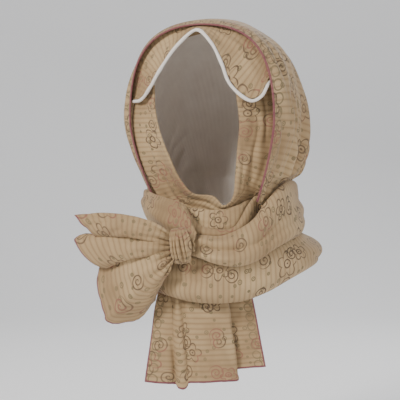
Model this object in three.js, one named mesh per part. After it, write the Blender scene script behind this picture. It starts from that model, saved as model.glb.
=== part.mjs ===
// A rain head scarf as it is worn: one long piece of knitted cloth backed with clear film, laid over
// the head as a hood, wrapped twice round the neck, tied at the wearer's right and left with two ends.
// Millimetres, +Z up. The chest faces -Y and the head is turned towards the wearer's right.
// The origin is the inside of the hood's top, where it sits on the crown of the head.
import * as THREE from "three";

// Cloth
const WALL = 1.6;
const LAYER_GAP = 0.6;
const HEM_ROLL = 4.6;
const HEM_GAP = 0.55;

// Hood, round the head and down to the neck
const HALF_WIDTH = 117;
const HALF_DEPTH = 125;
const HOOD_HEIGHT = 254;
const HEAD_TURN = 20;
const CROWN_FULLNESS = 0.5;
const GATHER_DEPTH = 2.4;
const GATHERS = 7;
const CHEEK_FOLD = 3.5;
const CHEEK_CROWN = 5;
const WIDEST_HEIGHT = 0.45;
const FOOT_SHARE = 0.32;
const FOOT_FLARE = 1.5;
const EDGE_FADE = 0.08;

// Cloth over the brow
const BROW_TUCK = 0.08;
const BROW_COLUMNS = 28;
const BROW_CROWN = 3;
const HEAD_MIDDLE = -0.4;

// Turns round the neck, measured down from the neck line
const NECK_LINE = -0.985 * HOOD_HEIGHT;
const WRAP_DROP = 120;
const NECK_X = 5;
const NECK_Y = 12.5;
const WRAP_FOLD = 2.2;
const CROSS_RIB = 1.5;

// Knot
const KNOT_TURN = -24;
const KNOT_DOWN = 0.85;
const KNOT_WIDTH = 25;
const KNOT_END = 0.75;
const KNOT_HEIGHT = 42;
const KNOT_DEPTH = 11;
const KNOT_ROUND = 0.6;
const KNOT_STAND = 6.9;
const KNOT_TILT = 8;
const KNOT_EDGE = 2;

// Loose ends
const SIDE_TURN = -27;
const SIDE_DOWN = 0.75;
const SIDE_REACH = 132;
const SIDE_SPREAD = 100;
const SIDE_START_OUT = -3;
const SIDE_START_FORWARD = 3.6;
const SIDE_START_DROP = 2;
const SIDE_ROOT_HEIGHT = 18;
const SIDE_SAG = 11;
const SIDE_MIDDLE_FORWARD = 8;
const SIDE_TIP_BACK = 16;
const FRONT_LENGTH = 138;
const FRONT_WIDTH = 157;
const FRONT_OFFSET = 14;
const FRONT_TUCK = 0.216 * HALF_DEPTH;
const FRONT_HEM_FORWARD = 2;
const CHEST_MIDDLE = 0.12;
const CHEST_ROUND = 84;
const PLEAT_DEPTH = 15;

// The front edge of the hood is where the hoops start, and the nape is where they end.
// Each hoop goes from a foot on the neck line over an apex to the other foot.
const HOOD_HOOPS = [
  { at: 0.0, width: 0.88, apexY: -0.5, apexZ: -0.03, rightX: 0.7, rightY: -0.57, leftX: 0.6, leftY: -0.4, footZ: -0.94 },
  { at: 0.12, width: 0.94, apexY: -0.36, apexZ: 0.0, rightX: 0.7, rightY: -0.42, leftX: 0.62, leftY: -0.28, footZ: -0.96 },
  { at: 0.3, width: 0.99, apexY: 0.0, apexZ: 0.0, rightX: 0.68, rightY: -0.16, leftX: 0.62, leftY: -0.1, footZ: -0.98 },
  { at: 0.45, width: 1.0, apexY: 0.4, apexZ: -0.08, rightX: 0.62, rightY: 0.06, leftX: 0.6, leftY: 0.06, footZ: -1.0 },
  { at: 0.6, width: 0.96, apexY: 0.72, apexZ: -0.24, rightX: 0.5, rightY: 0.24, leftX: 0.5, leftY: 0.24, footZ: -1.0 },
  { at: 0.72, width: 0.87, apexY: 0.86, apexZ: -0.43, rightX: 0.41, rightY: 0.38, leftX: 0.41, leftY: 0.38, footZ: -1.0 },
  { at: 0.84, width: 0.72, apexY: 0.84, apexZ: -0.66, rightX: 0.36, rightY: 0.48, leftX: 0.36, leftY: 0.48, footZ: -1.0 },
  { at: 0.93, width: 0.56, apexY: 0.74, apexZ: -0.84, rightX: 0.34, rightY: 0.55, leftX: 0.34, leftY: 0.55, footZ: -1.0 },
  { at: 1.0, width: 0.4, apexY: 0.66, apexZ: -1.0, rightX: 0.33, rightY: 0.59, leftX: 0.33, leftY: 0.59, footZ: -1.0 },
];

// The pale hem over the brow, from the right temple to the left one, and the place on the hood's
// front edge (hoodAt) that the cloth behind the hem tucks under.
const BROW_LINE = [
  { at: 0.0, hoodAt: 0.205, x: -0.74, y: -0.45, z: -0.4 },
  { at: 0.12, hoodAt: 0.24, x: -0.6, y: -0.52, z: -0.34 },
  { at: 0.25, hoodAt: 0.3, x: -0.47, y: -0.57, z: -0.26 },
  { at: 0.4, hoodAt: 0.43, x: -0.24, y: -0.6, z: -0.13 },
  { at: 0.5, hoodAt: 0.5, x: 0.0, y: -0.59, z: -0.05 },
  { at: 0.6, hoodAt: 0.56, x: 0.2, y: -0.62, z: -0.12 },
  { at: 0.7, hoodAt: 0.63, x: 0.33, y: -0.64, z: -0.225 },
  { at: 0.8, hoodAt: 0.7, x: 0.43, y: -0.63, z: -0.335 },
  { at: 0.88, hoodAt: 0.728, x: 0.62, y: -0.6, z: -0.41 },
  { at: 0.95, hoodAt: 0.74, x: 0.735, y: -0.565, z: -0.392 },
  { at: 1.0, hoodAt: 0.748, x: 0.79, y: -0.515, z: -0.335 },
];

// The band beside the cheeks and under the chin: its free edge (in) and its edge under the hood (out).
const FACE_SECTIONS = [
  { at: 0.0, inX: -0.58, inY: -0.46, inZ: -0.335, outX: -0.79, outY: -0.38, outZ: -0.335 },
  { at: 0.1, inX: -0.53, inY: -0.54, inZ: -0.48, outX: -0.87, outY: -0.38, outZ: -0.48 },
  { at: 0.2, inX: -0.45, inY: -0.575, inZ: -0.6, outX: -0.86, outY: -0.38, outZ: -0.6 },
  { at: 0.3, inX: -0.34, inY: -0.6, inZ: -0.71, outX: -0.795, outY: -0.38, outZ: -0.72 },
  { at: 0.4, inX: -0.2, inY: -0.615, inZ: -0.83, outX: -0.645, outY: -0.38, outZ: -0.86 },
  { at: 0.48, inX: -0.03, inY: -0.62, inZ: -0.905, outX: -0.42, outY: -0.46, outZ: -0.97 },
  { at: 0.56, inX: 0.2, inY: -0.62, inZ: -0.915, outX: -0.05, outY: -0.56, outZ: -1.02 },
  { at: 0.63, inX: 0.33, inY: -0.62, inZ: -0.965, outX: 0.26, outY: -0.54, outZ: -1.03 },
  { at: 0.7, inX: 0.44, inY: -0.6, inZ: -0.92, outX: 0.53, outY: -0.41, outZ: -0.94 },
  { at: 0.78, inX: 0.465, inY: -0.59, inZ: -0.79, outX: 0.745, outY: -0.39, outZ: -0.85 },
  { at: 0.86, inX: 0.48, inY: -0.575, inZ: -0.66, outX: 0.85, outY: -0.37, outZ: -0.69 },
  { at: 0.93, inX: 0.49, inY: -0.55, inZ: -0.53, outX: 0.9, outY: -0.36, outZ: -0.52 },
  { at: 1.0, inX: 0.43, inY: -0.52, inZ: -0.34, outX: 0.79, outY: -0.36, outZ: -0.335 },
];

// Bands round the neck. turn is the angle from the front of the chest, positive to the wearer's left.
// The reaches are shares of the hood's half width and half depth from the neck's axis, at the upper
// edge, at the belly and at the lower edge. upper and lower are shares of the wraps' drop below the
// neck line, and belly is how far down the band bulges most.
const INNER_COLLAR = [
  { turn: -58, upperReach: 0.783, bellyReach: 0.803, lowerReach: 0.793, upper: 0.02, lower: 0.22, belly: 0.5 },
  { turn: -40, upperReach: 0.8, bellyReach: 0.83, lowerReach: 0.82, upper: -0.02, lower: 0.26, belly: 0.5 },
  { turn: -20, upperReach: 0.82, bellyReach: 0.86, lowerReach: 0.85, upper: -0.02, lower: 0.3, belly: 0.5 },
  { turn: 0, upperReach: 0.83, bellyReach: 0.87, lowerReach: 0.86, upper: -0.01, lower: 0.32, belly: 0.5 },
  { turn: 15, upperReach: 0.82, bellyReach: 0.85, lowerReach: 0.84, upper: -0.06, lower: 0.3, belly: 0.5 },
  { turn: 28, upperReach: 0.75, bellyReach: 0.78, lowerReach: 0.77, upper: -0.109, lower: 0.26, belly: 0.5 },
  { turn: 44, upperReach: 0.62, bellyReach: 0.64, lowerReach: 0.63, upper: -0.02, lower: 0.2, belly: 0.5 },
];

const COWL_FOLD = [
  { turn: -38, upperReach: 0.87, bellyReach: 0.89, lowerReach: 0.88, upper: -0.08, lower: 0.16, belly: 0.4 },
  { turn: -27, upperReach: 0.89, bellyReach: 0.92, lowerReach: 0.91, upper: -0.06, lower: 0.26, belly: 0.4 },
  { turn: -15, upperReach: 0.9, bellyReach: 0.94, lowerReach: 0.92, upper: 0.14, lower: 0.37, belly: 0.4 },
  { turn: 0, upperReach: 0.91, bellyReach: 0.945, lowerReach: 0.92, upper: 0.19, lower: 0.39, belly: 0.4 },
  { turn: 10, upperReach: 0.9, bellyReach: 0.94, lowerReach: 0.92, upper: 0.16, lower: 0.37, belly: 0.4 },
  { turn: 20, upperReach: 0.87, bellyReach: 0.91, lowerReach: 0.89, upper: -0.04, lower: 0.26, belly: 0.4 },
  { turn: 30, upperReach: 0.81, bellyReach: 0.84, lowerReach: 0.83, upper: -0.13, lower: 0.14, belly: 0.4 },
];

const UPPER_WRAP = [
  { turn: -27, upperReach: 0.98, bellyReach: 1.02, lowerReach: 1.0, upper: 0.3, lower: 0.44, belly: 0.5 },
  { turn: -15, upperReach: 0.97, bellyReach: 1.05, lowerReach: 1.04, upper: 0.26, lower: 0.48, belly: 0.5 },
  { turn: 0, upperReach: 0.96, bellyReach: 1.08, lowerReach: 1.07, upper: 0.27, lower: 0.56, belly: 0.55 },
  { turn: 12, upperReach: 0.96, bellyReach: 1.09, lowerReach: 1.08, upper: 0.2, lower: 0.575, belly: 0.55 },
  { turn: 22, upperReach: 0.98, bellyReach: 1.1, lowerReach: 1.09, upper: 0.09, lower: 0.52, belly: 0.6 },
  { turn: 32, upperReach: 0.975, bellyReach: 1.09, lowerReach: 1.09, upper: -0.1, lower: 0.42, belly: 0.65 },
  { turn: 45, upperReach: 0.955, bellyReach: 1.09, lowerReach: 1.09, upper: -0.25, lower: 0.33, belly: 0.7 },
  { turn: 65, upperReach: 0.89, bellyReach: 1.03, lowerReach: 1.03, upper: -0.31, lower: 0.28, belly: 0.7 },
  { turn: 90, upperReach: 0.885, bellyReach: 0.955, lowerReach: 0.945, upper: -0.27, lower: 0.24, belly: 0.65 },
  { turn: 120, upperReach: 0.892, bellyReach: 0.93, lowerReach: 0.9, upper: -0.25, lower: 0.2, belly: 0.55 },
  { turn: 150, upperReach: 0.83, bellyReach: 0.88, lowerReach: 0.84, upper: -0.26, lower: 0.17, belly: 0.5 },
  { turn: 180, upperReach: 0.82, bellyReach: 0.87, lowerReach: 0.83, upper: -0.28, lower: 0.16, belly: 0.5 },
  { turn: 210, upperReach: 0.9, bellyReach: 0.925, lowerReach: 0.88, upper: -0.27, lower: 0.16, belly: 0.5 },
  { turn: 240, upperReach: 0.84, bellyReach: 0.87, lowerReach: 0.83, upper: -0.22, lower: 0.12, belly: 0.5 },
  { turn: 264, upperReach: 0.83, bellyReach: 0.845, lowerReach: 0.825, upper: -0.13, lower: 0.05, belly: 0.5 },
];

const LOWER_WRAP = [
  { turn: 0, upperReach: 0.935, bellyReach: 1.04, lowerReach: 0.98, upper: 0.42, lower: 0.99, belly: 0.5 },
  { turn: 15, upperReach: 0.94, bellyReach: 1.06, lowerReach: 1.0, upper: 0.41, lower: 0.965, belly: 0.52 },
  { turn: 30, upperReach: 0.95, bellyReach: 1.11, lowerReach: 1.06, upper: 0.33, lower: 0.875, belly: 0.58 },
  { turn: 45, upperReach: 0.93, bellyReach: 1.16, lowerReach: 1.12, upper: 0.25, lower: 0.75, belly: 0.65 },
  { turn: 60, upperReach: 0.884, bellyReach: 1.19, lowerReach: 1.16, upper: 0.196, lower: 0.66, belly: 0.7 },
  { turn: 75, upperReach: 0.84, bellyReach: 1.18, lowerReach: 1.16, upper: 0.19, lower: 0.62, belly: 0.75 },
  { turn: 90, upperReach: 0.8, bellyReach: 1.14, lowerReach: 1.12, upper: 0.19, lower: 0.6, belly: 0.75 },
  { turn: 112, upperReach: 0.76, bellyReach: 1.04, lowerReach: 1.0, upper: 0.16, lower: 0.59, belly: 0.65 },
  { turn: 135, upperReach: 0.71, bellyReach: 0.95, lowerReach: 0.9, upper: 0.13, lower: 0.57, belly: 0.55 },
  { turn: 160, upperReach: 0.68, bellyReach: 0.9, lowerReach: 0.85, upper: 0.11, lower: 0.55, belly: 0.5 },
  { turn: 180, upperReach: 0.67, bellyReach: 0.89, lowerReach: 0.84, upper: 0.11, lower: 0.54, belly: 0.5 },
  { turn: 205, upperReach: 0.69, bellyReach: 0.9, lowerReach: 0.85, upper: 0.12, lower: 0.56, belly: 0.5 },
  { turn: 230, upperReach: 0.74, bellyReach: 0.94, lowerReach: 0.9, upper: 0.13, lower: 0.62, belly: 0.5 },
  { turn: 255, upperReach: 0.8, bellyReach: 0.99, lowerReach: 0.94, upper: 0.18, lower: 0.7, belly: 0.5 },
  { turn: 275, upperReach: 0.84, bellyReach: 1.01, lowerReach: 0.97, upper: 0.24, lower: 0.77, belly: 0.5 },
  { turn: 295, upperReach: 0.87, bellyReach: 1.02, lowerReach: 0.98, upper: 0.3, lower: 0.84, belly: 0.5 },
  { turn: 320, upperReach: 0.91, bellyReach: 1.02, lowerReach: 0.98, upper: 0.36, lower: 0.92, belly: 0.5 },
  { turn: 342, upperReach: 0.92, bellyReach: 1.03, lowerReach: 0.98, upper: 0.41, lower: 0.98, belly: 0.5 },
];

const CROSS_FOLD = [
  { turn: -112, upperReach: 0.88, bellyReach: 0.9, lowerReach: 0.89, upper: -0.16, lower: 0.03, belly: 0.5 },
  { turn: -90, upperReach: 0.86, bellyReach: 0.88, lowerReach: 0.87, upper: -0.19, lower: 0.05, belly: 0.5 },
  { turn: -75, upperReach: 0.87, bellyReach: 0.9, lowerReach: 0.89, upper: -0.19, lower: 0.08, belly: 0.5 },
  { turn: -60, upperReach: 0.89, bellyReach: 0.94, lowerReach: 0.93, upper: -0.17, lower: 0.14, belly: 0.5 },
  { turn: -45, upperReach: 0.94, bellyReach: 1.01, lowerReach: 1.0, upper: -0.145, lower: 0.22, belly: 0.5 },
  { turn: -35, upperReach: 0.98, bellyReach: 1.05, lowerReach: 1.05, upper: -0.12, lower: 0.3, belly: 0.5 },
  { turn: -26, upperReach: 1.0, bellyReach: 1.07, lowerReach: 1.07, upper: -0.08, lower: 0.37, belly: 0.5 },
  { turn: -20, upperReach: 1.02, bellyReach: 1.075, lowerReach: 1.075, upper: 0.03, lower: 0.41, belly: 0.5 },
  { turn: -15, upperReach: 1.04, bellyReach: 1.075, lowerReach: 1.075, upper: 0.22, lower: 0.42, belly: 0.5 },
];

// The side end is a fan of three pleats. Each ray runs from the knot through a middle point to the
// cut edge. Out is a share of its reach away from the knot, up a share of its spread above the knot,
// and depth a share of the pleats' depth behind the front.
const SIDE_RAYS = [
  { at: 0.0, midOut: 0.4, midUp: 0.4, tipOut: 1.0, tipUp: 0.4, depth: 0.25 },
  { at: 0.08, midOut: 0.41, midUp: 0.31, tipOut: 0.93, tipUp: 0.31, depth: -0.2 },
  { at: 0.16, midOut: 0.42, midUp: 0.21, tipOut: 0.84, tipUp: 0.2, depth: -0.25 },
  { at: 0.22, midOut: 0.42, midUp: 0.15, tipOut: 0.77, tipUp: 0.12, depth: 0.05 },
  { at: 0.27, midOut: 0.42, midUp: 0.18, tipOut: 0.86, tipUp: 0.14, depth: 0.5 },
  { at: 0.32, midOut: 0.43, midUp: 0.16, tipOut: 1.0, tipUp: 0.1, depth: 0.8 },
  { at: 0.39, midOut: 0.43, midUp: 0.07, tipOut: 0.99, tipUp: 0.02, depth: 0.4 },
  { at: 0.47, midOut: 0.42, midUp: -0.04, tipOut: 0.87, tipUp: -0.18, depth: 0.15 },
  { at: 0.53, midOut: 0.4, midUp: -0.12, tipOut: 0.71, tipUp: -0.28, depth: 0.3 },
  { at: 0.58, midOut: 0.39, midUp: -0.09, tipOut: 0.72, tipUp: -0.26, depth: 0.75 },
  { at: 0.63, midOut: 0.39, midUp: -0.12, tipOut: 0.76, tipUp: -0.31, depth: 1.0 },
  { at: 0.72, midOut: 0.37, midUp: -0.25, tipOut: 0.78, tipUp: -0.55, depth: 0.6 },
  { at: 0.82, midOut: 0.33, midUp: -0.44, tipOut: 0.715, tipUp: -0.88, depth: 0.35 },
  { at: 0.88, midOut: 0.28, midUp: -0.5, tipOut: 0.67, tipUp: -1.0, depth: 0.35 },
  { at: 0.94, midOut: 0.2, midUp: -0.5, tipOut: 0.4, tipUp: -0.96, depth: 0.4 },
  { at: 1.0, midOut: 0.12, midUp: -0.4, tipOut: 0.22, tipUp: -0.71, depth: 0.5 },
];

// The front end hangs in panels. Each row is a fold or the middle of a panel, from the wearer's right.
// Tops and feet are shares of the width from the middle, hem a share of the length, and depth a share
// of the pleats' depth behind the front.
const FRONT_FOLDS = [
  { at: 0.0, top: -0.38, foot: -0.5, hem: 1.0, depth: 0.1 },
  { at: 0.08, top: -0.345, foot: -0.42, hem: 1.0, depth: -0.15 },
  { at: 0.16, top: -0.305, foot: -0.31, hem: 1.005, depth: -0.1 },
  { at: 0.22, top: -0.28, foot: -0.24, hem: 1.01, depth: 0.25 },
  { at: 0.26, top: -0.26, foot: -0.21, hem: 1.04, depth: -0.3 },
  { at: 0.31, top: -0.238, foot: -0.165, hem: 1.04, depth: -0.25 },
  { at: 0.35, top: -0.215, foot: -0.14, hem: 1.0, depth: 0.25 },
  { at: 0.46, top: -0.1, foot: -0.03, hem: 0.985, depth: -0.1 },
  { at: 0.57, top: 0.05, foot: 0.12, hem: 0.97, depth: -0.25 },
  { at: 0.66, top: 0.15, foot: 0.265, hem: 0.965, depth: 0.0 },
  { at: 0.7, top: 0.12, foot: 0.25, hem: 0.93, depth: 0.5 },
  { at: 0.74, top: 0.08, foot: 0.21, hem: 0.9, depth: 0.75 },
  { at: 0.79, top: 0.11, foot: 0.25, hem: 0.88, depth: 1.0 },
  { at: 0.89, top: 0.24, foot: 0.38, hem: 0.86, depth: 0.7 },
  { at: 1.0, top: 0.36, foot: 0.5, hem: 0.85, depth: 0.4 },
];

const CLOTH_COLOUR = 0xaa9478;
const LINING_COLOUR = 0xd8d3cb;

const mix = THREE.MathUtils.lerp;
const { degToRad, clamp, smoothstep } = THREE.MathUtils;
const UP = new THREE.Vector3(0, 0, 1);

// Every column of a table, smoothly between its rows. A closed table goes round through 360 degrees.
function readTable(table, place, key = "at", closed = false) {
  const rows = closed
    ? [{ ...table.at(-1), [key]: table.at(-1)[key] - 360 }, ...table, { ...table[0], [key]: 360 },
      { ...table[1], [key]: table[1][key] + 360 }]
    : table;
  let low = 0;
  while (low < rows.length - 2 && rows[low + 1][key] < place) {
    low += 1;
  }
  const [start, end] = [rows[low], rows[low + 1]];
  const before = rows[Math.max(low - 1, 0)];
  const after = rows[Math.min(low + 2, rows.length - 1)];
  const span = end[key] - start[key];
  const share = clamp((place - start[key]) / span, 0, 1);
  const values = {};
  for (const column of Object.keys(start)) {
    const startSlope = ((end[column] - before[column]) / (end[key] - before[key])) * span;
    const endSlope = ((after[column] - start[column]) / (after[key] - start[key])) * span;
    values[column] =
      (2 * share ** 3 - 3 * share ** 2 + 1) * start[column] +
      (share ** 3 - 2 * share ** 2 + share) * startSlope +
      (3 * share ** 2 - 2 * share ** 3) * end[column] +
      (share ** 3 - share ** 2) * endSlope;
  }
  return values;
}

// A place in the head's own frame, in shares of the hood's sizes, turned with the head.
function headPoint(x, y, z) {
  return new THREE.Vector3(x * HALF_WIDTH, y * HALF_DEPTH, z * HOOD_HEIGHT)
    .applyAxisAngle(UP, -degToRad(HEAD_TURN));
}

function gridNormals(points, ring) {
  const last = points.length - 1;
  return points.map((column, i) =>
    column.map((point, j) => {
      const next = ring ? points[(i + 1) % points.length] : points[Math.min(i + 1, last)];
      const previous = ring ? points[(i + last) % points.length] : points[Math.max(i - 1, 0)];
      const along = next[j].clone().sub(previous[j]);
      const across = column[Math.min(j + 1, column.length - 1)].clone().sub(column[Math.max(j - 1, 0)]);
      return along.cross(across).normalize();
    }),
  );
}

// Two skins of cloth a wall apart, joined along every edge into one closed body.
// The first side is the outer one where along and across turn to the left seen from outside.
function clothSheet({ name, along, across, base, ripple = () => 0, ring = false, colour = CLOTH_COLOUR }) {
  const columns = ring ? along : along + 1;
  const middle = Array.from({ length: columns }, (_, i) =>
    Array.from({ length: across + 1 }, (_, j) => base(i / along, j / across)),
  );
  const plainNormals = gridNormals(middle, ring);
  middle.forEach((column, i) =>
    column.forEach((point, j) => point.addScaledVector(plainNormals[i][j], ripple(i / along, j / across))),
  );
  const normals = gridNormals(middle, ring);
  const rows = across + 1;
  const skin = columns * rows;
  const positions = [];
  for (const side of [0.5, -0.5]) {
    middle.forEach((column, i) =>
      column.forEach((point, j) =>
        positions.push(...point.clone().addScaledVector(normals[i][j], side * WALL).toArray()),
      ),
    );
  }
  const outer = (i, j) => (i % columns) * rows + j;
  const inner = (i, j) => outer(i, j) + skin;
  const faces = [];
  const addQuad = (a, b, c, d) => faces.push(a, b, c, a, c, d);
  for (let i = 0; i < along; i += 1) {
    for (let j = 0; j < across; j += 1) {
      addQuad(outer(i, j), outer(i + 1, j), outer(i + 1, j + 1), outer(i, j + 1));
      addQuad(inner(i, j), inner(i, j + 1), inner(i + 1, j + 1), inner(i + 1, j));
    }
    addQuad(outer(i + 1, 0), outer(i, 0), inner(i, 0), inner(i + 1, 0));
    addQuad(outer(i, across), outer(i + 1, across), inner(i + 1, across), inner(i, across));
  }
  if (!ring) {
    for (let j = 0; j < across; j += 1) {
      addQuad(outer(0, j), outer(0, j + 1), inner(0, j + 1), inner(0, j));
      addQuad(outer(along, j + 1), outer(along, j), inner(along, j), inner(along, j + 1));
    }
  }
  const geometry = new THREE.BufferGeometry();
  geometry.setAttribute("position", new THREE.Float32BufferAttribute(positions, 3));
  geometry.setIndex(faces);
  geometry.computeVertexNormals();
  return namedMesh(name, geometry, colour);
}

function namedMesh(name, geometry, colour) {
  const material = new THREE.MeshStandardMaterial({ color: colour, roughness: 0.85, metalness: 0 });
  const mesh = new THREE.Mesh(geometry, material);
  mesh.name = name;
  return mesh;
}

// Each half hoop climbs from its foot to its widest place, and from there round to the apex.
function hoodPoint(along, back) {
  const hoop = readTable(HOOD_HOOPS, back);
  const isRight = along > 0.5;
  const footX = isRight ? hoop.rightX : hoop.leftX;
  const footY = isRight ? hoop.rightY : hoop.leftY;
  const climb = 1 - Math.abs(2 * along - 1);
  let spread = 1;
  let height = 0;
  if (climb < FOOT_SHARE) {
    const below = 1 - climb / FOOT_SHARE;
    spread = 1 - (1 - footX / hoop.width) * below ** FOOT_FLARE;
    height = WIDEST_HEIGHT * (1 - below);
  } else {
    const angle = (Math.PI / 2) * ((climb - FOOT_SHARE) / (1 - FOOT_SHARE));
    const sine = Math.sin(angle);
    spread = Math.cos(angle);
    height = WIDEST_HEIGHT + (1 - WIDEST_HEIGHT) * (sine + CROWN_FULLNESS * sine * (1 - sine));
  }
  return headPoint(
    (isRight ? 1 : -1) * hoop.width * spread,
    mix(footY, hoop.apexY, height),
    mix(hoop.footZ, hoop.apexZ, height) + WALL / 2 / HOOD_HEIGHT,
  );
}

// A point under the hood's cloth, so many layers of cloth further in.
function underHood(along, back, layers) {
  const step = 0.01;
  const point = hoodPoint(along, back);
  const alongEdge = hoodPoint(along + step, back).sub(hoodPoint(along - step, back));
  const towardsBack = hoodPoint(along, back + step).sub(hoodPoint(along, back - step));
  const outward = alongEdge.cross(towardsBack).normalize();
  return point.addScaledVector(outward, -layers * (WALL + LAYER_GAP));
}

// Gathers run down the hood and are deepest at the neck. One long fold lies along the right cheek.
function hoodRipple(along, back) {
  const low = Math.abs(2 * along - 1);
  const gather = GATHER_DEPTH * smoothstep(low, 0.45, 1) * Math.sin(2 * Math.PI * GATHERS * back);
  const edges = smoothstep(back, 0, EDGE_FADE) * (1 - smoothstep(back, 1 - EDGE_FADE, 1));
  const lap = smoothstep(back, 0.15, 0.22) * (1 - smoothstep(back, 0.25, 0.55));
  const lapEnds = smoothstep(low, 0.3, 0.6) * (1 - smoothstep(low, 0.88, 1));
  return gather * edges + CHEEK_FOLD * lap * lapEnds;
}

function makeHood() {
  return clothSheet({ name: "hood", along: 36, across: 25, base: hoodPoint, ripple: hoodRipple });
}

// The cloth over the brow starts under the hood's front edge and comes forward to the pale hem.
function browPoint(along, across) {
  const row = readTable(BROW_LINE, along);
  const hidden = underHood(row.hoodAt, BROW_TUCK, 1);
  const hem = headPoint(row.x, row.y, row.z);
  return hidden.lerp(hem, across);
}

function makeBrowFold() {
  const ripple = (along, across) => BROW_CROWN * Math.sin(Math.PI * across) * Math.sin(Math.PI * along);
  return clothSheet({ name: "brow_fold", along: BROW_COLUMNS, across: 4, base: browPoint, ripple });
}

// A roll of the pale lining along the brow cloth's free edge.
function makeBrowHem() {
  const radius = HEM_ROLL / 2;
  const sides = 6;
  const headMiddle = headPoint(0, 0, HEAD_MIDDLE);
  const ring = (column) => {
    const share = column / BROW_COLUMNS;
    const edge = browPoint(share, 1);
    const step = 0.01;
    const ahead = browPoint(Math.min(share + step, 1), 1);
    const forward = ahead.sub(browPoint(Math.max(share - step, 0), 1)).normalize();
    const facing = edge.clone().sub(headMiddle);
    const outwards = forward.clone().cross(facing).normalize();
    const sideways = forward.clone().cross(outwards);
    edge.addScaledVector(outwards, radius + HEM_GAP);
    return Array.from({ length: sides }, (_, side) => {
      const angle = (2 * Math.PI * (side + 0.5)) / sides;
      return edge.clone()
        .addScaledVector(outwards, radius * Math.cos(angle))
        .addScaledVector(sideways, radius * Math.sin(angle));
    });
  };
  const rings = Array.from({ length: BROW_COLUMNS + 1 }, (_, column) => ring(column));
  const positions = rings.flat().flatMap((point) => point.toArray());
  const at = (column, side) => column * sides + (side % sides);
  const faces = [];
  for (let column = 0; column < BROW_COLUMNS; column += 1) {
    for (let side = 0; side < sides; side += 1) {
      const [a, b] = [at(column, side), at(column + 1, side)];
      const [c, d] = [at(column + 1, side + 1), at(column, side + 1)];
      faces.push(a, c, b, a, d, c);
    }
  }
  for (let side = 1; side < sides - 1; side += 1) {
    faces.push(at(0, 0), at(0, side + 1), at(0, side));
    faces.push(at(BROW_COLUMNS, 0), at(BROW_COLUMNS, side), at(BROW_COLUMNS, side + 1));
  }
  const geometry = new THREE.BufferGeometry();
  geometry.setAttribute("position", new THREE.Float32BufferAttribute(positions, 3));
  geometry.setIndex(faces);
  geometry.computeVertexNormals();
  return namedMesh("brow_hem", geometry, LINING_COLOUR);
}

function makeFaceBand() {
  const base = (along, across) => {
    const row = readTable(FACE_SECTIONS, along);
    const free = headPoint(row.inX, row.inY, row.inZ);
    return headPoint(row.outX, row.outY, row.outZ).lerp(free, across);
  };
  const ripple = (along, across) => -CHEEK_CROWN * Math.sin(Math.PI * across);
  return clothSheet({ name: "face_band", along: 36, across: 5, base, ripple });
}

// A point on a band round the neck: down goes from its upper edge to its lower edge.
function neckPoint(table, turn, down, closed) {
  const row = readTable(table, turn, "turn", closed);
  const drop = (1 - Math.cos(Math.PI * down)) / 2;
  const quarter = Math.PI / 2;
  const reach =
    drop < row.belly
      ? mix(row.upperReach, row.bellyReach, Math.sin((quarter * drop) / row.belly))
      : mix(row.lowerReach, row.bellyReach, Math.cos((quarter * (drop - row.belly)) / (1 - row.belly)));
  const angle = degToRad(turn);
  return new THREE.Vector3(
    NECK_X + reach * HALF_WIDTH * Math.sin(angle),
    NECK_Y - reach * HALF_DEPTH * Math.cos(angle),
    NECK_LINE - WRAP_DROP * mix(row.upper, row.lower, drop),
  );
}

function neckBand({ name, table, along, across, closed = false, ripple }) {
  const first = table[0].turn;
  const span = closed ? 360 : table.at(-1).turn - first;
  const base = (share, down) => neckPoint(table, first + span * share, down, closed);
  return clothSheet({ name, along, across, base, ripple, ring: closed });
}

// Long soft folds that lie along a band and fade at its edges.
function lengthwiseFolds(folds, depth) {
  return (along, down) => -depth * Math.sin(Math.PI * down) * Math.sin(2 * Math.PI * folds * down + 2 * along);
}

function makeKnot() {
  const centre = neckPoint(CROSS_FOLD, KNOT_TURN, KNOT_DOWN);
  const tilt = degToRad(KNOT_TILT);
  const base = (along, across) => {
    const arch = Math.sin(Math.PI * along);
    const side = (across - 0.5) * KNOT_WIDTH * mix(KNOT_END, 1, arch);
    const rise = (0.5 - along) * KNOT_HEIGHT;
    const forward = KNOT_DEPTH * arch ** KNOT_ROUND - KNOT_EDGE * (2 * across - 1) ** 2;
    return new THREE.Vector3(
      centre.x + side * Math.cos(tilt) - rise * Math.sin(tilt),
      centre.y - KNOT_STAND - forward,
      centre.z + rise * Math.cos(tilt) + side * Math.sin(tilt),
    );
  };
  return clothSheet({ name: "knot", along: 10, across: 6, base });
}

function makeSideTail() {
  const root = neckPoint(CROSS_FOLD, SIDE_TURN, SIDE_DOWN);
  const outAt = (out, up, forward) =>
    new THREE.Vector3(root.x - out * SIDE_REACH, root.y - forward, root.z - SIDE_SAG + up * SIDE_SPREAD);
  const base = (along, across) => {
    const ray = readTable(SIDE_RAYS, across);
    const start = new THREE.Vector3(
      root.x - SIDE_START_OUT,
      root.y - SIDE_START_FORWARD,
      root.z - SIDE_START_DROP - SIDE_ROOT_HEIGHT * across,
    );
    const middle = outAt(ray.midOut, ray.midUp, SIDE_MIDDLE_FORWARD);
    const tip = outAt(ray.tipOut, ray.tipUp, -SIDE_TIP_BACK);
    const point = new THREE.CatmullRomCurve3([start, middle, tip]).getPoint(along);
    point.y += ray.depth * PLEAT_DEPTH * smoothstep(along, 0, 0.8);
    return point;
  };
  return clothSheet({ name: "side_tail", along: 9, across: 30, base });
}

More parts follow.
